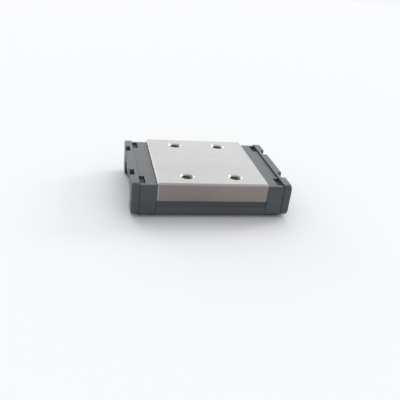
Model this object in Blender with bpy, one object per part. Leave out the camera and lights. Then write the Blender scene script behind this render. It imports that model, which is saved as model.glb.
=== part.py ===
"""Wide miniature linear guide carriage, caged-ball type, for an 18 mm wide rail.

Frame: X runs along the rail, Y across it, Z up, with the origin at the middle
of the carriage's underside. The left end is -X, the right end +X, the front
side -Y and the rear side +Y. Dimensions below are in millimetres.
"""

import math

import bmesh
import bpy
from mathutils import Matrix, Vector

MM = 0.001

# ---------------------------------------------------------------- dimensions
BLOCK_LENGTH = 27.0      # ground steel block, along the rail
BLOCK_WIDTH = 30.0
TOP_Z = 9.1              # mounting face above the underside
FLANGE_Z = 4.55          # underside of the steel flange
CHANNEL_Z = 5.0          # roof of the rail channel
LEG_INNER = 9.3          # half width of the channel between the legs
LEG_OUTER = 11.6
LEG_BOTTOM = 0.5
BLOCK_CHAMFER = 0.4      # along the top's long edges
END_CHAMFER = 0.25       # round the outline of each end
FLANGE_CHAMFER = 0.12    # under the side

TAP_X, TAP_Y = 6.0, 10.5  # four M3 mounting holes on 12 x 21
TAP_DRILL = 2.5
TAP_DEPTH = 2.8
TAP_MOUTH = 3.5

RAIL_HALF = 9.0           # rail that the carriage rides on
RAIL_TOP = 4.6

BALL = 1.5875             # 1/16 inch ball
BALL_Z = 2.1
LOAD_Y = 9.15             # loaded row, at the rail's groove
ROW_BALLS = 13
TURN_BALLS = 3
PITCH = BLOCK_LENGTH / ROW_BALLS
TURN_R = TURN_BALLS * PITCH / math.pi
TURN_Y = LOAD_Y + TURN_R
RETURN_Y = LOAD_Y + 2 * TURN_R
GROOVE_R = 0.84
TUNNEL_R = 0.875

CAGE_THICK = 0.32         # ribbon that spaces the balls
CAGE_INNER_Y = 9.08
CAGE_LOW, CAGE_HIGH = 1.05, 3.15
CAGE_HOLE = 1.74
CAGE_GAP = 0.1            # ribbon ends this far short of the row's end
TURN_GAP = math.radians(4)
CAGE_ROOM = 0.1           # room above and below the ribbon
CAGE_RELIEF_Y = 9.6

PLATE_INNER_X = 13.55     # moulded end plate
PLATE_OUTER_X = 17.55
PLATE_HALF = 14.75
PLATE_TOP = 8.4
PLATE_ROUND = 0.8
PLATE_OPENING = 9.35
PLATE_OPENING_Z = 4.9
SKIRT_Z = 1.2             # foot of the side face
SKIRT_Y = 13.1            # outer edge of the underside
POCKET_R = TURN_R + TUNNEL_R
GUIDE_R = TURN_R - TUNNEL_R
WINDOW_X0 = 16.2          # corner windows beside the seal
WINDOW_Y0, WINDOW_Y1 = 9.4, 13.35
WINDOW_Z = 7.2

SEAL_INNER_X = 17.6       # end seal frame
SEAL_OUTER_X = 19.45
SEAL_HALF = 14.9
SEAL_TOP = 8.8
SEAL_ROUND = 1.3
SEAL_FOOT = 0.5
NOTCH_Y0, NOTCH_Y1, NOTCH_Z = 6.3, 9.4, 7.6  # in the outer layer of the frame only
NOTCH_X = 18.4
SEAL_OPENING, SEAL_OPENING_Z = 9.8, 5.35
LIP_X0, LIP_X1 = 18.15, 18.95

SCREW_Y, SCREW_Z = 4.5, 6.8   # end screws
SCREW_D = 1.6
SCREW_HEAD, SCREW_HEAD_H = 2.6, 0.9
SCREW_TIP_X = 9.6

COVER_INNER = 11.65       # return cover under the flange
COVER_END = 13.5
COVER_TOP = 4.5
COVER_STEP_Z, COVER_STEP_Y = 3.0, 14.5
SPIGOT_Y, SPIGOT_Z, SPIGOT_R = 12.5, 3.95, 0.33

WIRE_R = 0.2              # ball retaining wire
WIRE_Y = 8.1
WIRE_END_X = 16.75
WIRE_SEAT_Y = 9.95
WIRE_BEND = 0.5


# ------------------------------------------------------------------- helpers
def material(name, colour, roughness, metallic):
    made = bpy.data.materials.new(name)
    made.use_nodes = True
    shader = made.node_tree.nodes["Principled BSDF"]
    shader.inputs["Base Color"].default_value = (*colour, 1.0)
    shader.inputs["Roughness"].default_value = roughness
    shader.inputs["Metallic"].default_value = metallic
    made.diffuse_color = (*colour, 1.0)
    return made


def place(name, bm, mat, origin=(0, 0, 0), parent=None, sharp=35.0):
    """Turns a bmesh drawn in millimetres into a named object in metres."""
    bmesh.ops.recalc_face_normals(bm, faces=bm.faces)
    for vert in bm.verts:
        vert.co = (vert.co - Vector(origin)) * MM
    mesh = bpy.data.meshes.new(name)
    bm.to_mesh(mesh)
    bm.free()
    mesh.shade_smooth()
    mesh.set_sharp_from_angle(angle=math.radians(sharp))
    return place_mesh(name, mesh, mat, origin, parent)


def place_mesh(name, mesh, mat, origin=(0, 0, 0), parent=None):
    made = bpy.data.objects.new(name, mesh)
    bpy.context.scene.collection.objects.link(made)
    if not mesh.materials:
        mesh.materials.append(mat)
    made.location = Vector(origin) * MM
    if parent is not None:
        made.parent = parent
        made.location = Vector(origin) * MM - parent.location
    return made


def pivot(name, origin):
    made = bpy.data.objects.new(name, None)
    made.empty_display_size = 0.002
    made.location = Vector(origin) * MM
    bpy.context.scene.collection.objects.link(made)
    return made


def helper(name, bm):
    made = place(name, bm, MATERIALS["plastic"])
    made.hide_render = True
    made.display_type = "WIRE"
    return made


def boolean(target, other, operation="DIFFERENCE"):
    modifier = target.modifiers.new(other.name, "BOOLEAN")
    modifier.operation = operation
    modifier.solver = "EXACT"
    modifier.object = other


def prism(bm, profile, x0, x1):
    """A profile of (y, z) points drawn out along X."""
    near = [bm.verts.new((x0, y, z)) for y, z in profile]
    far = [bm.verts.new((x1, y, z)) for y, z in profile]
    bm.faces.new(list(reversed(near)))
    bm.faces.new(far)
    for i in range(len(profile)):
        j = (i + 1) % len(profile)
        bm.faces.new((near[i], near[j], far[j], far[i]))
    return near + far


def box(bm, low, high):
    return prism(
        bm,
        [(low[1], low[2]), (high[1], low[2]), (high[1], high[2]), (low[1], high[2])],
        low[0],
        high[0],
    )


AXES = {
    "X": Matrix.Rotation(math.pi / 2, 4, "Y"),
    "Y": Matrix.Rotation(-math.pi / 2, 4, "X"),
    "Z": Matrix.Identity(4),
}


def cone(bm, start, axis, r0, r1, length, segments=16):
    """A cone or cylinder from start along the positive axis."""
    direction = {"X": Vector((1, 0, 0)), "Y": Vector((0, 1, 0)), "Z": Vector((0, 0, 1))}
    middle = Vector(start) + direction[axis] * length / 2
    bmesh.ops.create_cone(
        bm,
        cap_ends=True,
        segments=segments,
        radius1=r0,
        radius2=r1,
        depth=length,
        matrix=Matrix.Translation(middle) @ AXES[axis],
    )


def both_sides(half):
    """A half profile from the middle out and round, made symmetric in Y."""
    return half + [(-y, z) for y, z in reversed(half) if abs(y) > 1e-9]


def arc(centre, radius, start, end, steps):
    return [
        (
            centre[0] + radius * math.cos(start + (end - start) * k / steps),
            centre[1] + radius * math.sin(start + (end - start) * k / steps),
        )
        for k in range(steps + 1)
    ]


def rounding(half, top, radius):
    """The rounded top corner of an end piece's outline."""
    return arc((half - radius, top - radius), radius, math.pi / 2, 0, 3)


def turn_point(end, side, radius, angle):
    """A point on a turnaround: angle 0 at the loaded row, pi at the return row."""
    return (
        end * (BLOCK_LENGTH / 2 + radius * math.sin(angle)),
        side * (TURN_Y - radius * math.cos(angle)),
    )


# -------------------------------------------------------------------- pieces
def steel_block():
    half_w, half_l = BLOCK_WIDTH / 2, BLOCK_LENGTH / 2
    reach = math.acos((CAGE_RELIEF_Y - LOAD_Y) / GROOVE_R)
    groove = arc((LOAD_Y, BALL_Z), GROOVE_R, -reach, reach, 8)
    half = [
        (half_w - BLOCK_CHAMFER, TOP_Z),
        (half_w, TOP_Z - BLOCK_CHAMFER),
        (half_w, FLANGE_Z + FLANGE_CHAMFER),
        (half_w - FLANGE_CHAMFER, FLANGE_Z),
        (LEG_OUTER, FLANGE_Z),
        (LEG_OUTER, LEG_BOTTOM + 0.3),
        (LEG_OUTER - 0.3, LEG_BOTTOM),
        (LEG_INNER + 0.2, LEG_BOTTOM),
        (LEG_INNER, LEG_BOTTOM + 0.2),
        (LEG_INNER, CAGE_LOW - CAGE_ROOM),
        (CAGE_RELIEF_Y, CAGE_LOW - CAGE_ROOM),
        *groove,
        (CAGE_RELIEF_Y, CAGE_HIGH + CAGE_ROOM),
        (LEG_INNER, CAGE_HIGH + CAGE_ROOM),
        (LEG_INNER, CHANNEL_Z - 0.35),
        (LEG_INNER - 0.35, CHANNEL_Z),
    ]
    bm = bmesh.new()
    prism(bm, half + [(-y, z) for y, z in reversed(half)], -half_l, half_l)

    def on_outline(vert):
        return vert.co.z > FLANGE_Z - 1e-6 and (
            abs(vert.co.y) > half_w - 0.2 or vert.co.z > TOP_Z - 1e-6
        )

    broken = [
        edge
        for edge in bm.edges
        if all(on_outline(v) for v in edge.verts)
        and edge.verts[0].co.x == edge.verts[1].co.x
    ]
    bmesh.ops.bevel(
        bm, geom=broken, offset=END_CHAMFER, segments=1, profile=0.5, affect="EDGES"
    )
    block = place("steel_block", bm, MATERIALS["steel"])

    bm = bmesh.new()
    for x in (-TAP_X, TAP_X):
        for y in (-TAP_Y, TAP_Y):
            cone(bm, (x, y, TOP_Z - TAP_DEPTH), "Z", TAP_DRILL / 2, TAP_DRILL / 2, TAP_DEPTH + 1, 20)
    boolean(block, helper("cut_tap_drills", bm))
    bm = bmesh.new()
    slope = (TAP_MOUTH - TAP_DRILL) / 2
    for x in (-TAP_X, TAP_X):
        for y in (-TAP_Y, TAP_Y):
            cone(
                bm,
                (x, y, TOP_Z - slope),
                "Z",
                TAP_DRILL / 2,
                TAP_MOUTH / 2 + 0.5,
                slope + 0.5,
                20,
            )
    boolean(block, helper("cut_tap_mouths", bm))
    bm = bmesh.new()
    for end in (-1, 1):
        for y in (-SCREW_Y, SCREW_Y):
            start = SCREW_TIP_X - 0.3 if end > 0 else -half_l - 1
            cone(
                bm,
                (start, y, SCREW_Z),
                "X",
                SCREW_D / 2 + 0.06,
                SCREW_D / 2 + 0.06,
                half_l + 1 - SCREW_TIP_X + 0.3,
                12,
            )
    boolean(block, helper("cut_screw_holes", bm))


def end_plate(end, label):
    half = [
        *rounding(PLATE_HALF, PLATE_TOP, PLATE_ROUND),
        (PLATE_HALF, SKIRT_Z),
        (SKIRT_Y, 0),
        (PLATE_OPENING + 0.25, 0),
        (PLATE_OPENING, 0.25),
        (PLATE_OPENING, PLATE_OPENING_Z - 0.4),
        (PLATE_OPENING - 0.4, PLATE_OPENING_Z),
    ]
    bm = bmesh.new()
    prism(
        bm,
        half + [(-y, z) for y, z in reversed(half)],
        end * PLATE_INNER_X,
        end * PLATE_OUTER_X,
    )
    plate = place(f"end_plate_{label}", bm, MATERIALS["plastic"])

    bm = bmesh.new()
    centre_x = end * BLOCK_LENGTH / 2
    for side in (-1, 1):
        cone(
            bm,
            (centre_x, side * TURN_Y, CAGE_LOW - CAGE_ROOM),
            "Z",
            POCKET_R,
            POCKET_R,
            CAGE_HIGH - CAGE_LOW + 2 * CAGE_ROOM,
            32,
        )
    boolean(plate, helper(f"cut_{label}_turn_pockets", bm))
    bm = bmesh.new()
    for side in (-1, 1):
        cone(bm, (centre_x, side * TURN_Y, 0.5), "Z", 0.75, 0.75, 3.2, 16)
    boolean(plate, helper(f"cut_{label}_guide_seats", bm))
    bm = bmesh.new()
    for side in (-1, 1):
        x0, x1 = sorted((end * WINDOW_X0, end * (PLATE_OUTER_X + 1)))
        y0, y1 = sorted((side * WINDOW_Y0, side * WINDOW_Y1))
        box(bm, (x0, y0, WINDOW_Z), (x1, y1, PLATE_TOP + 1))
        x0, x1 = sorted((end * (PLATE_INNER_X - 1), end * (PLATE_OUTER_X + 1)))
        cone(bm, (x0, side * SCREW_Y, SCREW_Z), "X", 0.9, 0.9, x1 - x0, 12)
        x0, x1 = sorted((end * (PLATE_INNER_X - 1), end * (COVER_END + 0.7)))
        cone(
            bm,
            (x0, side * SPIGOT_Y, SPIGOT_Z),
            "X",
            SPIGOT_R + 0.07,
            SPIGOT_R + 0.07,
            x1 - x0,
            12,
        )
        y0, y1 = sorted((side * (PLATE_OPENING - 1), side * (WIRE_SEAT_Y + 0.1)))
        cone(
            bm,
            (end * WIRE_END_X, y0, BALL_Z),
            "Y",
            WIRE_R + 0.06,
            WIRE_R + 0.06,
            y1 - y0,
            10,
        )
    boolean(plate, helper(f"cut_{label}_plate_holes", bm))


def end_seal(end, label):
    half = [
        *rounding(SEAL_HALF, SEAL_TOP, SEAL_ROUND),
        (SEAL_HALF, SEAL_FOOT + 1.55),
        (SEAL_HALF - 0.3, SEAL_FOOT + 0.95),
        (SEAL_HALF - 1.4, SEAL_FOOT),
        (SEAL_OPENING, SEAL_FOOT),
        (SEAL_OPENING, SEAL_OPENING_Z - 0.4),
        (SEAL_OPENING - 0.4, SEAL_OPENING_Z),
    ]
    bm = bmesh.new()
    prism(
        bm,
        half + [(-y, z) for y, z in reversed(half)],
        end * SEAL_INNER_X,
        end * SEAL_OUTER_X,
    )
    seal = place(f"end_seal_{label}", bm, MATERIALS["seal"])

    bm = bmesh.new()
    for side in (-1, 1):
        x0, x1 = sorted((end * (WINDOW_X0 + 0.1), end * (SEAL_INNER_X + 0.5)))
        y0, y1 = sorted((side * (WINDOW_Y0 + 0.1), side * (WINDOW_Y1 - 0.1)))
        box(bm, (x0, y0, WINDOW_Z + 0.1), (x1, y1, WINDOW_Z + 0.6))
    boolean(seal, helper(f"add_{label}_seal_tongues", bm), "UNION")
    bm = bmesh.new()
    for side in (-1, 1):
        x0, x1 = sorted((end * NOTCH_X, end * (SEAL_OUTER_X + 1)))
        y0, y1 = sorted((side * NOTCH_Y0, side * NOTCH_Y1))
        box(bm, (x0, y0, NOTCH_Z), (x1, y1, SEAL_TOP + 1))
    boolean(seal, helper(f"cut_{label}_seal_notches", bm))
    bm = bmesh.new()
    for side in (-1, 1):
        x0, x1 = sorted((end * (SEAL_INNER_X - 1), end * (SEAL_OUTER_X + 1)))
        cone(bm, (x0, side * SCREW_Y, SCREW_Z), "X", 0.9, 0.9, x1 - x0, 12)
    boolean(seal, helper(f"cut_{label}_seal_holes", bm))
    bm = bmesh.new()
    for side in (-1, 1):
        x0, x1 = sorted((end * (SEAL_OUTER_X - 1.0), end * (SEAL_OUTER_X + 1)))
        cone(
            bm,
            (x0, side * SCREW_Y, SCREW_Z),
            "X",
            SCREW_HEAD / 2 + 0.1,
            SCREW_HEAD / 2 + 0.1,
            x1 - x0,
            20,
        )
    boolean(seal, helper(f"cut_{label}_head_seats", bm))

    gap = 0.05
    inner = [
        (0, RAIL_TOP + 0.05),
        (RAIL_HALF - 0.35, RAIL_TOP + 0.05),
        (RAIL_HALF + 0.02, RAIL_TOP - 0.3),
        (RAIL_HALF + 0.02, BALL_Z + 0.78),
        (RAIL_HALF - 0.5, BALL_Z + 0.32),
        (RAIL_HALF - 0.5, BALL_Z - 0.32),
        (RAIL_HALF + 0.02, BALL_Z - 0.78),
        (RAIL_HALF + 0.02, SEAL_FOOT + 0.1),
    ]
    outer = [
        (SEAL_OPENING - gap, SEAL_FOOT + 0.1),
        (SEAL_OPENING - gap, SEAL_OPENING_Z - 0.4 - gap / 2),
        (SEAL_OPENING - 0.4 - gap / 2, SEAL_OPENING_Z - gap),
    ]
    profile = inner + outer
    profile = profile + [(-y, z) for y, z in reversed(profile) if y > 0]
    bm = bmesh.new()
    prism(bm, profile, end * LIP_X0, end * LIP_X1)
    place(f"seal_lip_{label}", bm, MATERIALS["rubber"])


def end_screw(end, side, name):
    """Cross-recessed pan head screw through the seal and the end plate."""
    bm = bmesh.new()
    top = SEAL_OUTER_X - 0.05
    under = top - SCREW_HEAD_H
    turned = [
        (SCREW_TIP_X, SCREW_D / 2 - 0.25),
        (SCREW_TIP_X + 0.25, SCREW_D / 2),
        (under, SCREW_D / 2),
        (under, SCREW_HEAD / 2),
        (top - 0.3, SCREW_HEAD / 2),
        (top, SCREW_HEAD / 2 - 0.3),
    ]
    segments = 12
    rings = []
    for x, radius in turned:
        rings.append(
            [
                bm.verts.new(
                    (
                        end * x,
                        side * SCREW_Y + radius * math.cos(2 * math.pi * k / segments),
                        SCREW_Z + radius * math.sin(2 * math.pi * k / segments),
                    )
                )
                for k in range(segments)
            ]
        )
    for low, high in zip(rings, rings[1:]):
        for k in range(segments):
            m = (k + 1) % segments
            bm.faces.new((low[k], low[m], high[m], high[k]))
    bm.faces.new(rings[0])
    bm.faces.new(rings[-1])
    origin = (end * under, side * SCREW_Y, SCREW_Z)
    screw = place(name, bm, MATERIALS["bright"], origin)
    bm = bmesh.new()
    x0, x1 = sorted((end * (top - 0.45), end * (top + 0.5)))
    y, z = side * SCREW_Y, SCREW_Z
    long, short = 0.72, 0.13
    cross = [
        (short, short), (short, long), (-short, long), (-short, short),
        (-long, short), (-long, -short), (-short, -short), (-short, -long),
        (short, -long), (short, -short), (long, -short), (long, short),
    ]
    prism(bm, [(y + a, z + b) for a, b in cross], x0, x1)
    boolean(screw, helper(f"cut_{name}_recess", bm))


def return_cover(side, name):
    """Moulded cover under the flange, with the return tunnel through it."""
    profile = [
        (COVER_INNER, 0),
        (SKIRT_Y, 0),
        (PLATE_HALF, SKIRT_Z),
        (PLATE_HALF, COVER_STEP_Z),
        (COVER_STEP_Y, COVER_STEP_Z),
        (COVER_STEP_Y, COVER_TOP),
        (COVER_INNER, COVER_TOP),
    ]
    bm = bmesh.new()
    prism(bm, [(side * y, z) for y, z in profile], -COVER_END, COVER_END)
    cover = place(name, bm, MATERIALS["plastic"])
    bm = bmesh.new()
    cone(bm, (-COVER_END - 1, side * RETURN_Y, BALL_Z), "X", TUNNEL_R, TUNNEL_R, 2 * COVER_END + 2, 16)
    boolean(cover, helper(f"cut_{name}_tunnel", bm))
    cage_y = 2 * TURN_Y - CAGE_INNER_Y - CAGE_THICK / 2
    y0, y1 = sorted((side * (cage_y - 0.41), side * (cage_y + 0.33)))
    bm = bmesh.new()
    box(
        bm,
        (-COVER_END - 1, y0, CAGE_LOW - CAGE_ROOM),
        (COVER_END + 1, y1, CAGE_HIGH + CAGE_ROOM),
    )
    boolean(cover, helper(f"cut_{name}_slot", bm))
    bm = bmesh.new()
    for end in (-1, 1):
        x0, x1 = sorted((end * (COVER_END - 0.4), end * (COVER_END + 0.5)))
        cone(bm, (x0, side * SPIGOT_Y, SPIGOT_Z), "X", SPIGOT_R, SPIGOT_R, x1 - x0, 10)
    boolean(cover, helper(f"add_{name}_spigots", bm), "UNION")


def half_disc(bm, end, side, radius, z0, z1, steps):
    low, high = [], []
    for k in range(steps + 1):
        angle = math.pi * k / steps
        x, y = turn_point(end, side, radius, angle)
        x = end * max(end * x, PLATE_INNER_X)
        low.append(bm.verts.new((x, y, z0)))
        high.append(bm.verts.new((x, y, z1)))
    bm.faces.new(low)
    bm.faces.new(high)
    for k in range(steps + 1):
        m = (k + 1) % (steps + 1)
        bm.faces.new((low[k], low[m], high[m], high[k]))


def turn_guide(end, side, name):
    """Half-moon that the balls turn round, held by its spigots in the end plate."""
    bm = bmesh.new()
    half_disc(bm, end, side, GUIDE_R, CAGE_LOW - 0.05, CAGE_HIGH + 0.05, 10)
    guide = place(name, bm, MATERIALS["guide"])
    bm = bmesh.new()
    half_disc(bm, end, side, 0.68, 0.55, 3.65, 8)
    boolean(guide, helper(f"add_{name}_spigot", bm), "UNION")


def retaining_wire(side, name):
    """Spring wire staple that keeps the loaded row in when the rail is out."""
    centres = [(-WIRE_END_X, WIRE_SEAT_Y)]
    corner = []
    for k in range(5):
        angle = math.radians(90 * k / 4)
        corner.append(
            (
                WIRE_END_X - WIRE_BEND + WIRE_BEND * math.cos(angle),
                WIRE_Y + WIRE_BEND - WIRE_BEND * math.sin(angle),
            )
        )
    centres += [(-x, y) for x, y in corner]
    centres += list(reversed(corner))
    centres.append((WIRE_END_X, WIRE_SEAT_Y))
    segments = 8
    bm = bmesh.new()
    rings = []
    for i, (x, y) in enumerate(centres):
        before = Vector(centres[max(i - 1, 0)])
        after = Vector(centres[min(i + 1, len(centres) - 1)])
        along = (after - before).normalized()
        sideways = Vector((along.y, -along.x))
        ring = []
        for k in range(segments):
            angle = 2 * math.pi * (k + 0.5) / segments
            off = sideways * WIRE_R * math.cos(angle)
            ring.append(
                bm.verts.new(
                    (x + off.x, side * (y + off.y), BALL_Z + WIRE_R * math.sin(angle))
                )
            )
        rings.append(ring)
    for low, high in zip(rings, rings[1:]):
        for k in range(segments):
            m = (k + 1) % segments
            bm.faces.new((low[k], low[m], high[m], high[k]))
    bm.faces.new(rings[0])
    bm.faces.new(rings[-1])
    place(name, bm, MATERIALS["bright"])


def ball_mesh():
    bm = bmesh.new()
    bmesh.ops.create_icosphere(bm, subdivisions=1, radius=BALL / 2 * MM)
    mesh = bpy.data.meshes.new("bearing_ball")
    bm.to_mesh(mesh)
    bm.free()
    mesh.shade_smooth()
    mesh.materials.append(MATERIALS["ball"])
    return mesh


def row_positions():
    return [(k - (ROW_BALLS - 1) / 2) * PITCH for k in range(ROW_BALLS)]


def loaded_row(side, label, ball):
    """The balls that carry the load, each loose in its own pocket of the cage."""
    centre = pivot(f"{label}_load_row_axis", (0, side * LOAD_Y, BALL_Z))
    for number, x in enumerate(row_positions(), 1):
        place_mesh(
            f"{label}_load_ball_{number:02d}",
            ball,
            MATERIALS["ball"],
            (x, side * LOAD_Y, BALL_Z),
            centre,
        )
    reach = BLOCK_LENGTH / 2 - CAGE_GAP
    y0, y1 = sorted((side * CAGE_INNER_Y, side * (CAGE_INNER_Y + CAGE_THICK)))
    bm = bmesh.new()
    box(bm, (-reach, y0, CAGE_LOW), (reach, y1, CAGE_HIGH))
    cage = place(
        f"{label}_load_cage", bm, MATERIALS["cage"], (0, side * LOAD_Y, BALL_Z), centre
    )
    bm = bmesh.new()
    for x in row_positions():
        cone(bm, (x, min(y0, y1) - 0.5, BALL_Z), "Y", CAGE_HOLE / 2, CAGE_HOLE / 2, CAGE_THICK + 1, 8)
    boolean(cage, helper(f"cut_{label}_load_cage_pockets", bm))


def add_ball(bm, x, y):
    bmesh.ops.create_icosphere(
        bm,
        subdivisions=1,
        radius=BALL / 2,
        matrix=Matrix.Translation((x, y, BALL_Z)),
    )


def return_row(side, label):
    """The unloaded row in the cover's tunnel: its cage with the balls in it."""
    reach = BLOCK_LENGTH / 2 - CAGE_GAP
    outer = 2 * TURN_Y - CAGE_INNER_Y
    y0, y1 = sorted((side * outer, side * (outer - CAGE_THICK)))
    origin = (0, side * RETURN_Y, BALL_Z)
    centre = pivot(f"{label}_return_row_axis", origin)
    bm = bmesh.new()
    box(bm, (-reach, y0, CAGE_LOW), (reach, y1, CAGE_HIGH))
    row = place(f"{label}_return_chain", bm, MATERIALS["cage"], origin, centre)
    bm = bmesh.new()
    for x in row_positions():
        add_ball(bm, x, side * RETURN_Y)
    boolean(row, helper(f"add_{label}_return_balls", bm), "UNION")


def turn_chain(end, side, label):
    """The stretch of the circuit that goes round the turnaround."""
    origin = (end * BLOCK_LENGTH / 2, side * TURN_Y, BALL_Z)
    centre = pivot(f"{label}_turn_axis", origin)
    inner = TURN_Y - CAGE_INNER_Y - CAGE_THICK
    outer = TURN_Y - CAGE_INNER_Y
    steps = 12
    rings = []
    bm = bmesh.new()
    for k in range(steps + 1):
        angle = TURN_GAP + (math.pi - 2 * TURN_GAP) * k / steps
        ix, iy = turn_point(end, side, inner, angle)
        ox, oy = turn_point(end, side, outer, angle)
        rings.append(
            [
                bm.verts.new((ix, iy, CAGE_LOW)),
                bm.verts.new((ox, oy, CAGE_LOW)),
                bm.verts.new((ox, oy, CAGE_HIGH)),
                bm.verts.new((ix, iy, CAGE_HIGH)),
            ]
        )
    for low, high in zip(rings, rings[1:]):
        for k in range(4):
            m = (k + 1) % 4
            bm.faces.new((low[k], low[m], high[m], high[k]))
    bm.faces.new(rings[0])
    bm.faces.new(rings[-1])
    chain = place(f"{label}_turn_chain", bm, MATERIALS["cage"], origin, centre)
    bm = bmesh.new()
    for k in range(TURN_BALLS):
        x, y = turn_point(end, side, TURN_R, (k + 0.5) * math.pi / TURN_BALLS)
        add_ball(bm, x, y)
    boolean(chain, helper(f"add_{label}_turn_balls", bm), "UNION")


# --------------------------------------------------------------------- build
for old in list(bpy.data.objects):
    bpy.data.objects.remove(old, do_unlink=True)

MATERIALS = {
    "steel": material("ground_steel", (0.60, 0.60, 0.59), 0.35, 0.85),
    "plastic": material("black_moulding", (0.075, 0.08, 0.085), 0.5, 0.0),
    "seal": material("seal_frame_black", (0.06, 0.065, 0.07), 0.45, 0.0),
    "rubber": material("lip_rubber", (0.03, 0.03, 0.032), 0.7, 0.0),
    "guide": material("guide_moulding", (0.11, 0.11, 0.12), 0.5, 0.0),
    "cage": material("cage_nylon", (0.55, 0.56, 0.5), 0.5, 0.0),
    "bright": material("bright_steel", (0.62, 0.62, 0.62), 0.25, 1.0),
    "ball": material("ball_steel", (0.72, 0.72, 0.73), 0.08, 1.0),
}

ENDS = ((-1, "left"), (1, "right"))
SIDES = ((-1, "front"), (1, "rear"))

steel_block()
for end, end_label in ENDS:
    end_plate(end, end_label)
    end_seal(end, end_label)
    for side, side_label in SIDES:
        both = f"{end_label}_{side_label}"
        end_screw(end, side, f"end_screw_{both}")
        turn_guide(end, side, f"turn_guide_{both}")
        turn_chain(end, side, both)
the_ball = ball_mesh()
for side, side_label in SIDES:
    return_cover(side, f"return_cover_{side_label}")
    retaining_wire(side, f"retaining_wire_{side_label}")
    loaded_row(side, side_label, the_ball)
    return_row(side, side_label)
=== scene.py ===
import math

import bmesh
import bpy
from mathutils import Matrix, Vector


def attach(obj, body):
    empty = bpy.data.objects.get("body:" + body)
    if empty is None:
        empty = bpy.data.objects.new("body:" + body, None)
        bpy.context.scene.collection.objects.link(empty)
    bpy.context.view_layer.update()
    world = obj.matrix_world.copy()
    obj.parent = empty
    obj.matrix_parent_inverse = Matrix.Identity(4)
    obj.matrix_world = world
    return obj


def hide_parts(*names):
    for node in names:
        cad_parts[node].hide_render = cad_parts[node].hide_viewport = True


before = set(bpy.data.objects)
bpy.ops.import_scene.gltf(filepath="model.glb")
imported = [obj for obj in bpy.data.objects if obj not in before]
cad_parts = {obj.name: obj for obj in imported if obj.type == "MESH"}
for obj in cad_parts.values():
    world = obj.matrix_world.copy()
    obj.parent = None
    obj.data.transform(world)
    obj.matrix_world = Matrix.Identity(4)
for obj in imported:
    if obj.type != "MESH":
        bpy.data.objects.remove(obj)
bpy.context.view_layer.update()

# Looks for a wide miniature linear guide carriage. Shapes are drawn in
# millimetres, in the row frame, and brought to metres when each piece is baked.

MM = 0.001
SCENE = bpy.context.scene

# ------------------------------------------------------------- light levels
WORLD, WINDOW, KEY, RIM = 0.74, 1.4, 0.7, 0.35

# ------------------------------------------------------------------ sizes
HALF_L, HALF_W, TOP = 13.5, 15.0, 9.1
FLANGE_Z, ROOF_Z = 4.55, 5.0
BALL_R, BALL_Z = 1.5875 / 2, 2.1
LOAD_Y = 9.15
ROW, TURNS = 13, 3
PITCH = 27.0 / ROW
TURN_R = TURNS * PITCH / math.pi
TURN_Y = LOAD_Y + TURN_R
RETURN_Y = LOAD_Y + 2 * TURN_R
CAGE_IN, CAGE_T = 9.08, 0.32
CAGE_LOW, CAGE_HIGH = 1.05, 3.15
SCREW_Y, SCREW_Z = 4.5, 6.8
TAP_X, TAP_Y = 6.0, 10.5


# ---------------------------------------------------------------- materials
def nodes_of(name):
    made = bpy.data.materials.new(name)
    made.use_nodes = True
    tree = made.node_tree
    return made, tree, tree.nodes["Principled BSDF"]


def add(tree, kind, **values):
    node = tree.nodes.new(kind)
    for key, value in values.items():
        if key in node.inputs:
            node.inputs[key].default_value = value
        else:
            setattr(node, key, value)
    return node


def mm_coordinates(tree, scale):
    """The piece's own coordinates, counted in millimetres times scale."""
    coordinate = tree.nodes.new("ShaderNodeTexCoord")
    mapping = tree.nodes.new("ShaderNodeMapping")
    mapping.inputs["Scale"].default_value = [1000.0 * s for s in scale]
    tree.links.new(coordinate.outputs["Object"], mapping.inputs["Vector"])
    return mapping.outputs["Vector"]


def noise(tree, scale, detail=3.0, roughness=0.55):
    node = add(tree, "ShaderNodeTexNoise", Scale=1.0, Detail=detail, Roughness=roughness)
    tree.links.new(mm_coordinates(tree, scale), node.inputs["Vector"])
    return node.outputs["Fac"]


def ramp(tree, source, low, high, at=(0.3, 0.7)):
    node = tree.nodes.new("ShaderNodeMapRange")
    node.inputs["From Min"].default_value = at[0]
    node.inputs["From Max"].default_value = at[1]
    node.inputs["To Min"].default_value = low
    node.inputs["To Max"].default_value = high
    tree.links.new(source, node.inputs["Value"])
    return node.outputs["Result"]


def mix_colour(tree, factor, a, b):
    node = tree.nodes.new("ShaderNodeMix")
    node.data_type = "RGBA"
    node.inputs["A"].default_value = (*a, 1)
    node.inputs["B"].default_value = (*b, 1)
    tree.links.new(factor, node.inputs["Factor"])
    return node.outputs["Result"]


def bump(tree, shader, layers):
    """Stacks (height socket, strength, distance in mm) into the shader's normal."""
    before = None
    for height, strength, distance in layers:
        node = tree.nodes.new("ShaderNodeBump")
        node.inputs["Strength"].default_value = strength
        node.inputs["Distance"].default_value = distance * MM
        tree.links.new(height, node.inputs["Height"])
        if before is not None:
            tree.links.new(before, node.inputs["Normal"])
        before = node.outputs["Normal"]
    tree.links.new(before, shader.inputs["Normal"])


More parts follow.
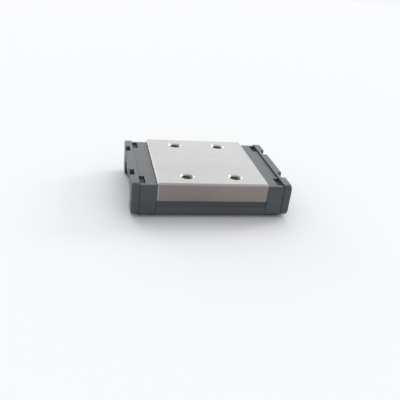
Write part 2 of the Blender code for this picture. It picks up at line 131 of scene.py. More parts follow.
def ground_steel(name, dark, light, rough=(0.29, 0.34), lines=(0.25, 16.0, 16.0), depth=0.004):
    """Surface-ground steel: fine straight grinding lines with a faint mottle."""
    made, tree, shader = nodes_of(name)
    grain = noise(tree, lines, 4.0, 0.65)
    blotch = noise(tree, (0.05, 0.08, 0.08), 2.0, 0.5)
    spots = noise(tree, (0.5, 0.7, 0.7), 3.0, 0.5)
    tone = mix_colour(tree, ramp(tree, blotch, 0, 1), dark, light)
    fine = tree.nodes.new("ShaderNodeMix")
    fine.data_type = "RGBA"
    fine.blend_type = "MULTIPLY"
    fine.inputs["Factor"].default_value = 0.2
    tree.links.new(tone, fine.inputs["A"])
    tree.links.new(
        mix_colour(tree, ramp(tree, grain, 0, 1), (0.82, 0.82, 0.82), (1.0, 1.0, 1.0)),
        fine.inputs["B"],
    )
    tree.links.new(fine.outputs["Result"], shader.inputs["Base Color"])
    tree.links.new(ramp(tree, spots, rough[0], rough[1]), shader.inputs["Roughness"])
    shader.inputs["Metallic"].default_value = 1.0
    bump(tree, shader, [(grain, 0.14, depth)])
    return made


def moulding(name, dark, light, rough=(0.38, 0.5), grain=0.5, ior=1.52):
    """Moulded engineering plastic: fine spark-eroded texture, faint flow tone."""
    made, tree, shader = nodes_of(name)
    flow = noise(tree, (0.18, 0.3, 0.5), 2.0, 0.5)
    texture = noise(tree, (9.0, 9.0, 9.0), 3.0, 0.7)
    dust = noise(tree, (2.2, 2.2, 2.2), 4.0, 0.7)
    tree.links.new(
        mix_colour(tree, ramp(tree, flow, 0, 1), dark, light), shader.inputs["Base Color"]
    )
    tree.links.new(ramp(tree, dust, rough[0], rough[1]), shader.inputs["Roughness"])
    shader.inputs["IOR"].default_value = ior
    bump(tree, shader, [(texture, 0.22 * grain, 0.012), (dust, 0.1 * grain, 0.02)])
    return made


def rubber(name):
    made, tree, shader = nodes_of(name)
    fine = noise(tree, (12.0, 12.0, 12.0), 3.0, 0.7)
    bloom = noise(tree, (0.6, 0.8, 0.8), 3.0, 0.6)
    tree.links.new(
        mix_colour(tree, ramp(tree, bloom, 0, 1), (0.018, 0.018, 0.019), (0.034, 0.034, 0.035)),
        shader.inputs["Base Color"],
    )
    tree.links.new(ramp(tree, bloom, 0.55, 0.72), shader.inputs["Roughness"])
    bump(tree, shader, [(fine, 0.2, 0.01)])
    return made


def polished(name, colour, rough, haze):
    made, tree, shader = nodes_of(name)
    smear = noise(tree, (1.6, 1.6, 1.6), 3.0, 0.6)
    tree.links.new(
        mix_colour(tree, ramp(tree, smear, 0, 1), [c * 0.94 for c in colour], colour),
        shader.inputs["Base Color"],
    )
    tree.links.new(ramp(tree, smear, rough, rough + haze), shader.inputs["Roughness"])
    shader.inputs["Metallic"].default_value = 1.0
    bump(tree, shader, [(smear, 0.03, 0.004)])
    return made


def nylon(name):
    made, tree, shader = nodes_of(name)
    flow = noise(tree, (0.5, 0.9, 0.9), 3.0, 0.5)
    fine = noise(tree, (10.0, 10.0, 10.0), 2.0, 0.6)
    tree.links.new(
        mix_colour(tree, ramp(tree, flow, 0, 1), (0.52, 0.53, 0.47), (0.62, 0.63, 0.57)),
        shader.inputs["Base Color"],
    )
    tree.links.new(ramp(tree, flow, 0.38, 0.5), shader.inputs["Roughness"])
    shader.inputs["Subsurface Weight"].default_value = 0.15
    shader.inputs["Subsurface Radius"].default_value = (0.0004, 0.0004, 0.0003)
    shader.inputs["Subsurface Scale"].default_value = 1.0
    bump(tree, shader, [(fine, 0.12, 0.01)])
    return made


STEEL_TOP = ground_steel("steel_ground_top", (0.315, 0.315, 0.312), (0.345, 0.345, 0.342))
# Painted shade: the flank is darker and warmer than the top, standing in for the dark surroundings it reflects.
STEEL_SIDE_PAINTED_SHADE = ground_steel(
    "steel_side_painted_shade", (0.237, 0.212, 0.199), (0.283, 0.254, 0.239), (0.4, 0.48), (0.4, 9.0, 9.0), 0.006
)
# Painted highlight: the edge breaks are lighter than the flank so the chamfers read as bright lines.
STEEL_EDGE_PAINTED_HIGHLIGHT = ground_steel(
    "steel_edge_break_painted_highlight", (0.40, 0.385, 0.37), (0.48, 0.465, 0.45), (0.4, 0.5), (1.5, 8.0, 8.0)
)
STEEL_INSIDE = ground_steel(
    "steel_inside", (0.36, 0.355, 0.35), (0.46, 0.455, 0.45), (0.3, 0.44), (0.3, 10.0, 10.0)
)
# Painted light: the end faces are much lighter than the top, lifting the shade on the strip seen between block and end
# plates.
STEEL_END_PAINTED_LIGHT = ground_steel(
    "steel_end_face_painted_light", (0.52, 0.515, 0.505), (0.6, 0.595, 0.585), (0.5, 0.6), (6.0, 0.4, 8.0), 0.006
)
STEEL_THREAD = polished("steel_thread", (0.30, 0.295, 0.285), 0.3, 0.16)
# Countersink mouths: polished (low roughness), and with a base colour far brighter than the rest of the block as a
# painted glint.
STEEL_MOUTH_POLISH_AND_GLINT = polished("steel_countersink_polish_and_glint", (0.78, 0.78, 0.77), 0.2, 0.08)
RACEWAY = polished("steel_raceway", (0.66, 0.66, 0.66), 0.12, 0.1)
PLATE = moulding("plate_moulding", (0.0455, 0.0525, 0.0595), (0.056, 0.0645, 0.073))
# Painted light and shade on one return-cover moulding: the lower band is lighter to lift the shade near the floor, and
# the recess band under the flange is darker as painted shade.
SKIRT_PAINTED_LIGHT = moulding("skirt_moulding_painted_light", (0.052, 0.0565, 0.0625), (0.0605, 0.066, 0.073))
COVER_PAINTED_SHADE = moulding("cover_recess_painted_shade", (0.043, 0.0435, 0.046), (0.052, 0.053, 0.056), (0.4, 0.54))
SEAL = moulding("seal_moulding", (0.0435, 0.0495, 0.0565), (0.0535, 0.061, 0.07), (0.36, 0.46), 0.8)
# Painted light: the window pocket walls are lighter than the plate, lifting the shade inside the windows.
POCKET_PAINTED_LIGHT = moulding("pocket_walls_painted_light", (0.07, 0.078, 0.088), (0.085, 0.095, 0.108), (0.5, 0.6))
TONGUE = moulding("tongue_moulding", (0.036, 0.043, 0.051), (0.045, 0.053, 0.063), (0.72, 0.8), 0.5, 1.4)
GUIDE = moulding("guide_moulding", (0.09, 0.09, 0.098), (0.12, 0.12, 0.13), (0.3, 0.4), 0.5)
LIP = rubber("lip_rubber")
CAGE = nylon("cage_nylon")
BALL = polished("ball_lapped", (0.80, 0.80, 0.81), 0.045, 0.05)
WIRE = polished("wire_drawn", (0.66, 0.66, 0.66), 0.16, 0.12)
SCREW = polished("screw_plated", (0.46, 0.455, 0.45), 0.2, 0.16)


# ------------------------------------------------------------- mesh helpers
def drawn(name, bm, smooth=True):
    """A bmesh in millimetres as a temporary object."""
    bmesh.ops.recalc_face_normals(bm, faces=bm.faces)
    mesh = bpy.data.meshes.new(name)
    bm.to_mesh(mesh)
    bm.free()
    if smooth:
        mesh.shade_smooth()
    made = bpy.data.objects.new(name, mesh)
    SCENE.collection.objects.link(made)
    return made


def bevel(target, width, segments=2, angle=30.0):
    modifier = target.modifiers.new("edge", "BEVEL")
    modifier.width = width
    modifier.segments = segments
    modifier.limit_method = "ANGLE"
    modifier.angle_limit = math.radians(angle)
    modifier.use_clamp_overlap = True
    modifier.profile = 0.5


def boolean(target, bm, operation="DIFFERENCE"):
    other = drawn("tool", bm)
    other.hide_render = True
    modifier = target.modifiers.new("tool", "BOOLEAN")
    modifier.operation = operation
    modifier.solver = "EXACT"
    modifier.object = other
    return other


def evaluated(target):
    graph = bpy.context.evaluated_depsgraph_get()
    return bpy.data.meshes.new_from_object(target.evaluated_get(graph))


def bake(target, name, materials, body, replaced=(), sharp=38.0, choose=None):
    """Applies the modifiers, scales to metres, picks each face's material and lets the piece ride on its body."""
    tools = [m.object for m in target.modifiers if m.type == "BOOLEAN"]
    bpy.context.view_layer.update()
    mesh = evaluated(target)
    target.modifiers.clear()
    old, target.data = target.data, mesh
    bpy.data.meshes.remove(old)
    mesh.materials.clear()
    for mat in materials:
        mesh.materials.append(mat)
    bm = bmesh.new()
    bm.from_mesh(mesh)
    bmesh.ops.remove_doubles(bm, verts=bm.verts, dist=0.0005)
    bmesh.ops.dissolve_degenerate(bm, edges=bm.edges, dist=0.0005)
    for face in bm.faces:
        face.smooth = True
        face.material_index = choose(face) if choose else 0
    bm.to_mesh(mesh)
    bm.free()
    mesh.set_sharp_from_angle(angle=math.radians(sharp))
    modifier = target.modifiers.new("normals", "WEIGHTED_NORMAL")
    modifier.keep_sharp = True
    modifier.weight = 90
    bpy.context.view_layer.update()
    final = evaluated(target)
    final.transform(Matrix.Scale(MM, 4))
    final.name = name
    target.modifiers.clear()
    target.data = final
    bpy.data.meshes.remove(mesh)
    target.name = name
    for tool in tools:
        bpy.data.objects.remove(tool, do_unlink=True)
    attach(target, body)
    if replaced:
        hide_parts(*replaced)
    return target


def prism(bm, profile, x0, x1):
    near = [bm.verts.new((x0, y, z)) for y, z in profile]
    far = [bm.verts.new((x1, y, z)) for y, z in profile]
    bm.faces.new(list(reversed(near)))
    bm.faces.new(far)
    for i in range(len(profile)):
        j = (i + 1) % len(profile)
        bm.faces.new((near[i], near[j], far[j], far[i]))


def mirrored(half):
    return half + [(-y, z) for y, z in reversed(half)]


def box(bm, low, high):
    prism(bm, [(low[1], low[2]), (high[1], low[2]), (high[1], high[2]), (low[1], high[2])], low[0], high[0])


def span(a, b):
    return (a, b) if a < b else (b, a)


def arc(centre, radius, start, end, steps):
    return [
        (
            centre[0] + radius * math.cos(start + (end - start) * k / steps),
            centre[1] + radius * math.sin(start + (end - start) * k / steps),
        )
        for k in range(steps + 1)
    ]


FRAMES = {
    "X": (Vector((1, 0, 0)), Vector((0, 1, 0)), Vector((0, 0, 1))),
    "Y": (Vector((0, 1, 0)), Vector((0, 0, 1)), Vector((1, 0, 0))),
    "Z": (Vector((0, 0, 1)), Vector((1, 0, 0)), Vector((0, 1, 0))),
}


def turned(bm, origin, axis, outline, segments, radius_at=None):
    """A closed solid of revolution from (distance along the axis, radius) pairs."""
    along, u, v = FRAMES[axis]
    origin = Vector(origin)
    rings = []
    for distance, radius in outline:
        ring = []
        if radius < 1e-6:
            ring = [bm.verts.new(origin + along * distance)]
        else:
            for k in range(segments):
                angle = 2 * math.pi * k / segments
                r = radius if radius_at is None else radius_at(distance, angle, radius)
                ring.append(
                    bm.verts.new(
                        origin
                        + along * distance
                        + u * (r * math.cos(angle))
                        + v * (r * math.sin(angle))
                    )
                )
        rings.append(ring)
    for low, high in zip(rings, rings[1:]):
        for k in range(segments):
            m = (k + 1) % segments
            if len(low) == 1:
                bm.faces.new((low[0], high[m], high[k]))
            elif len(high) == 1:
                bm.faces.new((low[k], low[m], high[0]))
            else:
                bm.faces.new((low[k], low[m], high[m], high[k]))
    for ring in (rings[0], rings[-1]):
        if len(ring) > 1:
            bm.faces.new(ring)


def thread_radius(minor, major, pitch):
    def at(distance, angle, least):
        phase = (distance / pitch - angle / (2 * math.pi)) % 1.0
        flank = 1 - abs(2 * phase - 1)
        share = min(1.0, max(0.0, (flank - 0.12) / 0.72))
        return max(minor + (major - minor) * share, least)

    return at


def tapped_hole(bm, x, y):
    """Tool for one M3 blind hole: drill point, thread, countersunk mouth."""
    pitch, minor, major, mouth, depth = 0.5, 1.24, 1.52, 1.72, 2.8
    bottom = TOP - depth
    turned_outline = [(bottom - 0.42, 0.0), (bottom - 0.02, 0.62)]
    steps = int(depth / pitch * 9)
    for k in range(steps + 1):
        z = bottom + depth * k / steps
        turned_outline.append((z, max(0.1, mouth - (TOP - z) * 1.0)))
    turned_outline.append((TOP + 0.3, mouth + 0.3))
    helix = thread_radius(minor, major, pitch)

    def radius_at(distance, angle, least):
        if distance < bottom - 1e-6 or distance > TOP + 1e-6:
            return least
        return helix(distance, angle, least)

    turned(bm, (x, y, 0), "Z", turned_outline, 44, radius_at)


def sphere(bm, centre, radius, detail=3):
    bmesh.ops.create_icosphere(
        bm, subdivisions=detail, radius=radius, matrix=Matrix.Translation(centre)
    )


def turn_point(end, side, radius, angle):
    return (
        end * (HALF_L + radius * math.sin(angle)),
        side * (TURN_Y - radius * math.cos(angle)),
    )


def tube(bm, points, radius, segments):
    """A round tube with closed ends along a list of points."""
    rings = []
    for i, point in enumerate(points):
        before = points[max(i - 1, 0)]
        after = points[min(i + 1, len(points) - 1)]
        along = (after - before).normalized()
        up = Vector((0, 0, 1))
        sideways = along.cross(up).normalized()
        lift = sideways.cross(along).normalized()
        rings.append(
            [
                bm.verts.new(
                    point
                    + sideways * (radius * math.cos(2 * math.pi * k / segments))
                    + lift * (radius * math.sin(2 * math.pi * k / segments))
                )
                for k in range(segments)
            ]
        )
    for low, high in zip(rings, rings[1:]):
        for k in range(segments):
            m = (k + 1) % segments
            bm.faces.new((low[k], low[m], high[m], high[k]))
    bm.faces.new(rings[0])
    bm.faces.new(rings[-1])


# ------------------------------------------------------------------- pieces
def steel_block():
    reach = math.acos((9.6 - LOAD_Y) / 0.84)
    groove = arc((LOAD_Y, BALL_Z), 0.84, -reach, reach, 20)
    half = [
        (HALF_W - 0.4, TOP),
        (HALF_W, TOP - 0.4),
        (HALF_W, FLANGE_Z + 0.07),
        (HALF_W - 0.07, FLANGE_Z),
        (11.6, FLANGE_Z),
        (11.6, 0.8),
        (11.3, 0.5),
        (9.5, 0.5),
        (9.3, 0.7),
        (9.3, 0.95),
        (9.6, 0.95),
        *groove,
        (9.6, 3.25),
        (9.3, 3.25),
        (9.3, 4.65),
        (8.95, ROOF_Z),
    ]
    bm = bmesh.new()
    prism(bm, mirrored(half), -HALF_L, HALF_L)

    def on_outline(v):
        return v.co.z > FLANGE_Z - 1e-6 and (abs(v.co.y) > HALF_W - 0.2 or v.co.z > TOP - 1e-6)

    broken = [
        edge
        for edge in bm.edges
        if all(on_outline(v) for v in edge.verts) and edge.verts[0].co.x == edge.verts[1].co.x
    ]
    bmesh.ops.bevel(bm, geom=broken, offset=0.25, segments=1, profile=0.5, affect="EDGES")
    block = drawn("steel_block_ground", bm)
    bevel(block, 0.03, 2, 32)
    bm = bmesh.new()
    for x in (-TAP_X, TAP_X):
        for y in (-TAP_Y, TAP_Y):
            tapped_hole(bm, x, y)
    boolean(block, bm)
    bm = bmesh.new()
    for end in (-1, 1):
        for y in (-SCREW_Y, SCREW_Y):
            outline = [(end * 9.3, 0.86), (end * (HALF_L - 0.12), 0.86), (end * (HALF_L + 0.2), 1.18)]
            turned(bm, (0, y, SCREW_Z), "X", outline, 24)
    boolean(block, bm)

    # Face picks: the flank gets the painted-shade steel, edge breaks the painted-highlight steel, countersink mouths
    # the painted glint and end faces the painted-light steel.
    def choose(face):
        c, n = face.calc_center_median(), face.normal
        for x in (-TAP_X, TAP_X):
            for y in (-TAP_Y, TAP_Y):
                distance = math.hypot(c.x - x, c.y - y)
                if distance < 1.8 and c.z > 5.5 and c.z < TOP - 0.01:
                    return 6 if c.z > TOP - 0.3 and distance > 1.4 else 4
        if abs(c.y) < 9.99 and c.z < 3.0 and 8.5 < abs(c.y) and abs(c.z - BALL_Z) < 0.72:
            return 5
        if n.z > 0.96 and c.z > TOP - 0.05:
            return 0
        if abs(n.x) > 0.97 and abs(c.x) > HALF_L - 0.02:
            return 7
        if abs(c.y) > HALF_W - 0.02 and abs(n.y) > 0.96:
            return 1
        on_outer = c.z > FLANGE_Z - 0.02 and (
            abs(c.y) > HALF_W - 0.44 or c.z > TOP - 0.44 or abs(c.x) > HALF_L - 0.44
        )
        if on_outer and abs(n.x) < 0.97 and max(abs(n.y), abs(n.z)) < 0.97:
            return 2
        return 3

    bake(
        block,
        "steel_block_ground",
        [
            STEEL_TOP,
            STEEL_SIDE_PAINTED_SHADE,
            STEEL_EDGE_PAINTED_HIGHLIGHT,
            STEEL_INSIDE,
            STEEL_THREAD,
            RACEWAY,
            STEEL_MOUTH_POLISH_AND_GLINT,
            STEEL_END_PAINTED_LIGHT,
        ],
        "carriage",
        ["steel_block"],
        choose=choose,
    )


def end_plate(end, label):
    half = [
        *arc((13.95, 7.6), 0.8, math.pi / 2, 0, 10),
        (14.75, 1.2),
        (13.1, 0),
        (9.6, 0),
        (9.35, 0.25),
        (9.35, 4.5),
        (8.95, 4.9),
    ]
    bm = bmesh.new()
    prism(bm, mirrored(half), *span(end * 13.55, end * 17.55))
    shoulder = [e for e in bm.edges if all(abs(v.co.x) > 17.5 and v.co.z > 7.5 for v in e.verts)]
    bmesh.ops.bevel(bm, geom=shoulder, offset=0.32, segments=1, profile=0.5, affect="EDGES")
    plate = drawn(f"end_plate_{label}_moulded", bm)
    bm = bmesh.new()
    for side in (-1, 1):
        x0, x1 = span(end * 16.2, end * 18.5)
        y0, y1 = span(side * 9.4, side * 13.35)
        box(bm, (x0, y0, 7.2), (x1, y1, 9.0))
    boolean(plate, bm)
    bevel(plate, 0.07, 3, 40)
    bm = bmesh.new()
    for side in (-1, 1):
        outline = [(0.95, 2.858), (3.25, 2.858)]
        turned(bm, (end * HALF_L, side * TURN_Y, 0), "Z", outline, 72)
    boolean(plate, bm)
    bm = bmesh.new()
    for side in (-1, 1):
        turned(bm, (end * HALF_L, side * TURN_Y, 0), "Z", [(0.5, 0.75), (3.7, 0.75)], 32)
        x0, x1 = span(end * 12.5, end * 18.6)
        turned(bm, (0, side * SCREW_Y, SCREW_Z), "X", [(x0, 0.9), (x1, 0.9)], 28)
        x0, x1 = span(end * 12.5, end * 14.15)
        turned(bm, (0, side * 12.5, 3.95), "X", [(x0, 0.4), (x1, 0.4)], 20)
        y0, y1 = span(side * 8.3, side * 10.05)
        turned(bm, (end * 16.75, 0, BALL_Z), "Y", [(y0, 0.26), (y1, 0.26)], 20)
    boolean(plate, bm)

    def choose(face):
        c = face.calc_center_median()
        # Window walls get the lighter pocket material, painted light.
        in_window = 16.17 < abs(c.x) and 9.37 < abs(c.y) < 13.38 and 7.1 < c.z < 8.3
        return 1 if in_window else 0

    bake(
        plate,
        f"end_plate_{label}_moulded",
        [PLATE, POCKET_PAINTED_LIGHT],
        "carriage",
        [f"end_plate_{label}"],
        choose=choose,
    )


def end_seal(end, label):
    half = [
        *arc((13.6, 7.5), 1.3, math.pi / 2, 0, 12),
        (14.9, 2.05),
        (14.6, 1.45),
        (13.5, 0.5),
        (9.8, 0.5),
        (9.8, 4.95),
        (9.4, 5.35),
    ]
    bm = bmesh.new()
    prism(bm, mirrored(half), *span(end * 17.6, end * 19.45))
    rim = [e for e in bm.edges if all(abs(v.co.x) > 19.4 and v.co.z > 1.0 for v in e.verts)]
    rim = [e for e in rim if all(abs(v.co.y) > 9.9 or v.co.z > 6 for v in e.verts)]
    bmesh.ops.bevel(bm, geom=rim, offset=0.24, segments=3, profile=0.5, affect="EDGES")
    seal = drawn(f"end_seal_{label}_frame", bm)
    bm = bmesh.new()
    for side in (-1, 1):
        x0, x1 = span(end * 18.4, end * 20.0)
        y0, y1 = span(side * 6.3, side * 9.4)
        box(bm, (x0, y0, 7.6), (x1, y1, 9.5))
    boolean(seal, bm)
    bevel(seal, 0.07, 2, 28)
    bm = bmesh.new()
    for side in (-1, 1):
        x0, x1 = span(end * 16.3, end * 18.1)
        y0, y1 = span(side * 9.5, side * 13.25)
        box(bm, (x0, y0, 7.3), (x1, y1, 7.9))
    boolean(seal, bm, "UNION")
    bm = bmesh.new()
    for side in (-1, 1):
        outline = [
            (end * 16.9, 0.9),
            (end * 18.45, 0.9),
            (end * 18.45, 1.4),
            (end * 19.33, 1.4),
            (end * 19.75, 1.82),
        ]
        turned(bm, (0, side * SCREW_Y, SCREW_Z), "X", outline, 40)
    boolean(seal, bm)

    def choose(face):
        return 1 if abs(face.calc_center_median().x) < 17.59 else 0

    bake(
        seal,
        f"end_seal_{label}_frame",
        [SEAL, TONGUE],
        "carriage",
        [f"end_seal_{label}"],
        choose=choose,
    )

    inner = [
        (9.02, 0.6),
        (9.02, 1.32),
        (8.5, 1.78),
        (8.5, 2.42),
        (9.02, 2.88),
        (9.02, 4.3),
        (8.65, 4.65),
    ]
    outer = [(9.35, 5.3), (9.75, 4.93), (9.75, 0.6)]
    middle = 18.55
    bm = bmesh.new()
    loop = inner + [(-y, z) for y, z in reversed(inner)]
    back = [(-y, z) for y, z in reversed(outer)]
    ring_in = loop
    ring_out = (
        [outer[-1]]
        + [(9.75, 1.32), (9.75, 1.78), (9.75, 2.42), (9.75, 2.88), outer[1], outer[0]]
    )
    ring_out = ring_out + [(-y, z) for y, z in reversed(ring_out)]
    for_x = [
        (18.15, ring_out, 0.0),
        (18.15, ring_in, 0.34),
        (middle - 0.06, ring_in, 0.0),
        (middle + 0.06, ring_in, 0.0),
        (18.95, ring_in, 0.34),
        (18.95, ring_out, 0.0),
    ]
    rows = []
    for x, ring, blend in for_x:
        row = []
        for (iy, iz), (oy, oz) in zip(ring_in, ring_out):
            y, z = (oy, oz) if ring is ring_out else (iy + (oy - iy) * blend, iz + (oz - iz) * blend)
            row.append(bm.verts.new((end * x, y, z)))
        rows.append(row)
    count = len(rows[0])
    for a, b in zip(rows, rows[1:] + rows[:1]):
        for k in range(count - 1):
            bm.faces.new((a[k], a[k + 1], b[k + 1], b[k]))
    bm.faces.new([row[0] for row in rows])
    bm.faces.new([row[-1] for row in rows])
    lip = drawn(f"seal_lip_{label}_rubber", bm)
    bevel(lip, 0.035, 2, 20)
    bake(
        lip, f"seal_lip_{label}_rubber", [LIP], "carriage", [f"seal_lip_{label}"]
    )


def end_screw(end, side, label):
    top, under, tip = 19.4, 18.5, 9.6
    pitch = 0.35
    outline = [(tip, 0.0), (tip, 0.5), (tip + 0.2, 0.62)]
    steps = int((14.2 - tip - 0.2) / pitch * 8)
    for k in range(1, steps + 1):
        outline.append((tip + 0.2 + (14.2 - tip - 0.2) * k / steps, 0.62))
    outline += [(14.4, 0.74), (under, 0.74), (under, 1.22), (under + 0.08, 1.3)]
    outline += [
        (under + 0.3 + 0.6 * math.sin(a), 0.4 + 0.9 * math.cos(a))
        for a in [math.radians(90 * k / 8) for k in range(9)]
    ]
    outline.append((top, 0.0))
    helix = thread_radius(0.62, 0.79, pitch)

    def radius_at(distance, angle, least):
        if abs(distance) < tip + 0.15 or abs(distance) > 14.25:
            return least
        return helix(distance, angle, least)

    bm = bmesh.new()
    outline = [(end * x, r) for x, r in outline]
    turned(bm, (0, side * SCREW_Y, SCREW_Z), "X", outline, 32, radius_at)
    screw = drawn(f"end_screw_{label}_body", bm)
    bm = bmesh.new()
    wide, deep = 0.17, 0.52
    for turn in (0, math.pi / 2):
        ends = []
        for x, length, half in ((top + 0.3, 0.95, wide), (top - 0.12, 0.7, wide * 0.9), (top - deep, 0.28, wide * 0.6)):
            ring = []
            for a, b in ((-length, -half), (length, -half), (length, half), (-length, half)):
                y = a * math.cos(turn) - b * math.sin(turn)
                z = a * math.sin(turn) + b * math.cos(turn)
                ring.append(bm.verts.new((end * x, side * SCREW_Y + y, SCREW_Z + z)))
            ends.append(ring)
        for low, high in zip(ends, ends[1:]):
            for k in range(4):
                m = (k + 1) % 4
                bm.faces.new((low[k], low[m], high[m], high[k]))
        bm.faces.new(ends[0])
        bm.faces.new(ends[-1])
        if turn == 0:
            boolean(screw, bm)
            bm = bmesh.new()
    boolean(screw, bm)
    bake(
        screw,
        f"end_screw_{label}_body",
        [SCREW],
        "carriage",
        [f"end_screw_{label}"],
        sharp=32,
    )


def return_cover(side, label):
    half = [
        (11.65, 0),
        (13.1, 0),
        (14.75, 1.2),
        (14.75, 2.9),
        (14.5, 3.15),
        (14.5, 4.5),
        (11.65, 4.5),
    ]
    bm = bmesh.new()
    prism(bm, [(side * y, z) for y, z in half], -13.5, 13.5)
    cover = drawn(f"return_cover_{label}_moulded", bm)
    bevel(cover, 0.04, 3, 30)
    bm = bmesh.new()
    turned(bm, (0, side * RETURN_Y, BALL_Z), "X", [(-14.4, 0.872), (14.4, 0.872)], 40)
    boolean(cover, bm)
    ribbon = 2 * TURN_Y - CAGE_IN - CAGE_T / 2
    bm = bmesh.new()
    y0, y1 = span(side * (ribbon - 0.41), side * (ribbon + 0.33))
    box(bm, (-14.4, y0, 0.95), (14.4, y1, 3.25))
    boolean(cover, bm)
    bm = bmesh.new()
    for end in (-1, 1):
        outline = [(end * 13.0, 0.33), (end * 13.85, 0.33), (end * 13.94, 0.24)]
        turned(bm, (0, side * 12.5, 3.95), "X", outline, 20)
    boolean(cover, bm, "UNION")

    def choose(face):
        c = face.calc_center_median()
        # The recess band under the flange gets the darker moulding, painted shade; the rest gets the lighter one,
        # painted light.
        return 1 if abs(c.y) > 14.3 and c.z > 2.98 and abs(face.normal.x) < 0.5 else 0

    bake(
        cover,
        f"return_cover_{label}_moulded",
        [SKIRT_PAINTED_LIGHT, COVER_PAINTED_SHADE],
        "carriage",
        [f"return_cover_{label}"],
        choose=choose,
    )


def turn_guide(end, side, label):
    """Half-moon with a ball groove round its rim and a spigot above and below."""
    outline = [(0.55, 0.0), (0.55, 0.6), (0.63, 0.68), (1.02, 0.68), (1.02, 1.5), (1.1, 1.6)]
    for k in range(15):
        z = BALL_Z - 0.72 + 1.44 * k / 14
        outline.append((z, min(1.6, TURN_R - math.sqrt(0.86**2 - (z - BALL_Z) ** 2))))
    outline += [(3.1, 1.6), (3.18, 1.5), (3.18, 0.68), (3.57, 0.68), (3.65, 0.6), (3.65, 0.0)]
    bm = bmesh.new()
    turned(bm, (end * HALF_L, side * TURN_Y, 0), "Z", outline, 64)
    guide = drawn(f"turn_guide_{label}_half_moon", bm)
    bm = bmesh.new()
    x0, x1 = span(end * 8.0, end * 13.56)
    box(bm, (x0, side * TURN_Y - 5, -1), (x1, side * TURN_Y + 5, 5))
    boolean(guide, bm)
    bake(
        guide,
        f"turn_guide_{label}_half_moon",
        [GUIDE],
        "carriage",
        [f"turn_guide_{label}"],
    )


def retaining_wire(side, label):
    corner = []
    for k in range(9):
        angle = math.radians(90 * k / 8)
        corner.append(Vector((16.25 + 0.5 * math.cos(angle), side * (8.6 - 0.5 * math.sin(angle)), BALL_Z)))
    flip = Matrix.Diagonal((-1, 1, 1))
    points = [Vector((-16.75, side * 9.95, BALL_Z))]
    points += [flip @ p for p in corner]
    points += list(reversed(corner))
    points.append(Vector((16.75, side * 9.95, BALL_Z)))
    bm = bmesh.new()
    tube(bm, points, 0.198, 20)
    wire = drawn(f"retaining_wire_{label}_spring", bm)
    bake(
        wire,
        f"retaining_wire_{label}_spring",
        [WIRE],
        "carriage",
        [f"retaining_wire_{label}"],
        sharp=50,
    )


def straight_cage(name, y_ball, y0, y1, body, replaced):
    """Ribbon with a spacer between each two balls, dished to fit them."""
    reach = HALF_L - 0.1
    bm = bmesh.new()
    box(bm, (-reach, min(y0, y1), CAGE_LOW), (reach, max(y0, y1), CAGE_HIGH))
    cage = drawn(name, bm)
    bevel(cage, 0.05, 2, 40)
    bm = bmesh.new()
    turned(bm, (0, y_ball, BALL_Z), "X", [(-reach, 0.44), (-reach + 0.06, 0.5), (reach - 0.06, 0.5), (reach, 0.44)], 20)
    boolean(cage, bm, "UNION")
    bm = bmesh.new()
    for k in range(ROW):
        sphere(bm, ((k - 6) * PITCH, y_ball, BALL_Z), BALL_R + 0.03, 3)
    boolean(cage, bm)
    bake(cage, name, [CAGE], body, replaced, sharp=35)


def turn_cage(end, side, label):
    inner, outer = TURN_Y - CAGE_IN - CAGE_T, TURN_Y - CAGE_IN
    gap = math.radians(4)
    steps = 36
    bm = bmesh.new()
    rings = []
    for k in range(steps + 1):
        angle = gap + (math.pi - 2 * gap) * k / steps
        ix, iy = turn_point(end, side, inner, angle)
        ox, oy = turn_point(end, side, outer, angle)
        rings.append([bm.verts.new(p) for p in ((ix, iy, CAGE_LOW), (ox, oy, CAGE_LOW), (ox, oy, CAGE_HIGH), (ix, iy, CAGE_HIGH))])
    for low, high in zip(rings, rings[1:]):
        for k in range(4):
            m = (k + 1) % 4
            bm.faces.new((low[k], low[m], high[m], high[k]))
    bm.faces.new(rings[0])
    bm.faces.new(rings[-1])
    cage = drawn(f"turn_cage_{label}", bm)
    bevel(cage, 0.05, 2, 40)
    bm = bmesh.new()
    path = []
    for k in range(steps + 1):
        angle = gap + (math.pi - 2 * gap) * k / steps
        x, y = turn_point(end, side, TURN_R, angle)
        path.append(Vector((x, y, BALL_Z)))
    tube(bm, path, 0.5, 16)
    boolean(cage, bm, "UNION")
    bm = bmesh.new()
    for k in range(TURNS):
        x, y = turn_point(end, side, TURN_R, (k + 0.5) * math.pi / TURNS)
        sphere(bm, (x, y, BALL_Z), BALL_R + 0.03, 3)
    boolean(cage, bm)
    body = f"{label}_turn"
    bake(cage, f"turn_cage_{label}", [CAGE], body, [f"{label}_turn_chain"], sharp=35)


def ball_mesh(detail):
    bm = bmesh.new()
    bmesh.ops.create_icosphere(bm, subdivisions=detail, radius=BALL_R * MM)
    mesh = bpy.data.meshes.new("ball_lapped")
    bm.to_mesh(mesh)
    bm.free()
    mesh.shade_smooth()
    mesh.materials.append(BALL)
    return mesh


def ball(mesh, name, centre, body, replaced=()):
    made = bpy.data.objects.new(name, mesh)
    SCENE.collection.objects.link(made)
    made.location = Vector(centre) * MM
    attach(made, body)
    if replaced:
        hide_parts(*replaced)


# ------------------------------------------------------------------- build
SIDES = ((-1, "front"), (1, "rear"))
ENDS = ((-1, "left"), (1, "right"))

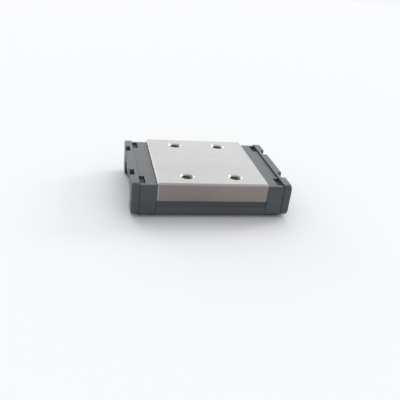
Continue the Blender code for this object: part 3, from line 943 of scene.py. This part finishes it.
steel_block()
for end, e in ENDS:
    end_plate(end, e)
    end_seal(end, e)
    for side, s in SIDES:
        end_screw(end, side, f"{e}_{s}")
        turn_guide(end, side, f"{e}_{s}")
        turn_cage(end, side, f"{e}_{s}")
fine_ball, plain_ball = ball_mesh(4), ball_mesh(3)
for side, s in SIDES:
    return_cover(side, s)
    retaining_wire(side, s)
    straight_cage(
        f"{s}_load_cage_moulded",
        side * LOAD_Y,
        side * CAGE_IN,
        side * (CAGE_IN + CAGE_T),
        f"{s}_load_row",
        [f"{s}_load_cage"],
    )
    outer = 2 * TURN_Y - CAGE_IN
    straight_cage(
        f"{s}_return_cage_moulded",
        side * RETURN_Y,
        side * outer,
        side * (outer - CAGE_T),
        f"{s}_return_row",
        [f"{s}_return_chain"],
    )
    for k in range(ROW):
        x = (k - 6) * PITCH
        number = f"{k + 1:02d}"
        ball(fine_ball, f"{s}_ball_{number}", (x, side * LOAD_Y, BALL_Z), f"{s}_load_row", [f"{s}_load_ball_{number}"])
        ball(plain_ball, f"{s}_return_ball_{number}", (x, side * RETURN_Y, BALL_Z), f"{s}_return_row")
    for end, e in ENDS:
        for k in range(TURNS):
            x, y = turn_point(end, side, TURN_R, (k + 0.5) * math.pi / TURNS)
            ball(plain_ball, f"{e}_{s}_turn_ball_{k + 1}", (x, y, BALL_Z), f"{e}_{s}_turn")

# ------------------------------------------------------------------- stage
bm = bmesh.new()
bmesh.ops.create_circle(bm, cap_ends=True, segments=96, radius=0.9)
floor = drawn("floor", bm, smooth=False)
floor.location = (0, 0, -0.00002)
floor_material, tree, shader = nodes_of("pale_floor")
shader.inputs["Base Color"].default_value = (0.86, 0.863, 0.87, 1)
shader.inputs["Roughness"].default_value = 0.9
shader.inputs["Specular IOR Level"].default_value = 0.1
floor.data.materials.append(floor_material)

bm = bmesh.new()
section = [(0.9, 0.0)] + [
    (0.9 + math.sin(a), 1.0 - math.cos(a)) for a in [math.radians(90 * k / 24) for k in range(1, 25)]
]
section.append((1.9, 1.6))
rings = [
    [
        bm.verts.new((r * math.cos(2 * math.pi * k / 96), r * math.sin(2 * math.pi * k / 96), z))
        for k in range(96)
    ]
    for r, z in section
]
for low, high in zip(rings, rings[1:]):
    for k in range(96):
        m = (k + 1) % 96
        bm.faces.new((low[k], high[k], high[m], low[m]))
backdrop = drawn("backdrop", bm)
backdrop.location = (0, 0, -0.00002)
backdrop.visible_shadow = backdrop.visible_diffuse = backdrop.visible_glossy = False
backdrop.data.materials.append(floor_material)

world = bpy.data.worlds.new("studio")
SCENE.world = world
world.use_nodes = True
world.node_tree.nodes["Background"].inputs["Color"].default_value = (0.975, 0.985, 1.0, 1)
world.node_tree.nodes["Background"].inputs["Strength"].default_value = WORLD


def distant(name, direction, spread, strength, colour=(1, 1, 1)):
    """A soft light from far away, as even over the floor as over the object."""
    data = bpy.data.lights.new(name, "SUN")
    data.angle = math.radians(spread)
    data.energy = strength
    data.color = colour
    made = bpy.data.objects.new(name, data)
    SCENE.collection.objects.link(made)
    made.rotation_euler = (-Vector(direction)).to_track_quat("-Z", "Y").to_euler()


distant("window", (0.14, 0.78, 0.61), 80, WINDOW, (1.0, 1.0, 1.0))
distant("key", (0.84, 0.40, 0.36), 16, KEY, (1.0, 0.99, 0.97))
distant("rim", (-0.42, 0.876, 0.21), 26, RIM, (0.93, 0.97, 1.0))

# ------------------------------------------------------------------ camera
camera_data = bpy.data.cameras.new("camera")
camera_data.sensor_width = 36.0
camera_data.lens = 46.6195
camera_data.clip_start, camera_data.clip_end = 0.005, 20.0
camera = bpy.data.objects.new("camera", camera_data)
SCENE.collection.objects.link(camera)
right = Vector((0.97793527, -0.18253148, 0.10161132))
down = Vector((0.00957622, -0.44671311, -0.89462601))
ahead = Vector((0.20868851, 0.87585938, -0.43510855))
turn = Matrix((right, -down, -ahead)).transposed().to_4x4()
camera.matrix_world = Matrix.Translation((-0.02889644, -0.12266985, 0.05845885)) @ turn
SCENE.camera = camera
SCENE.view_settings.view_transform = "Standard"
SCENE.view_settings.look = "None"
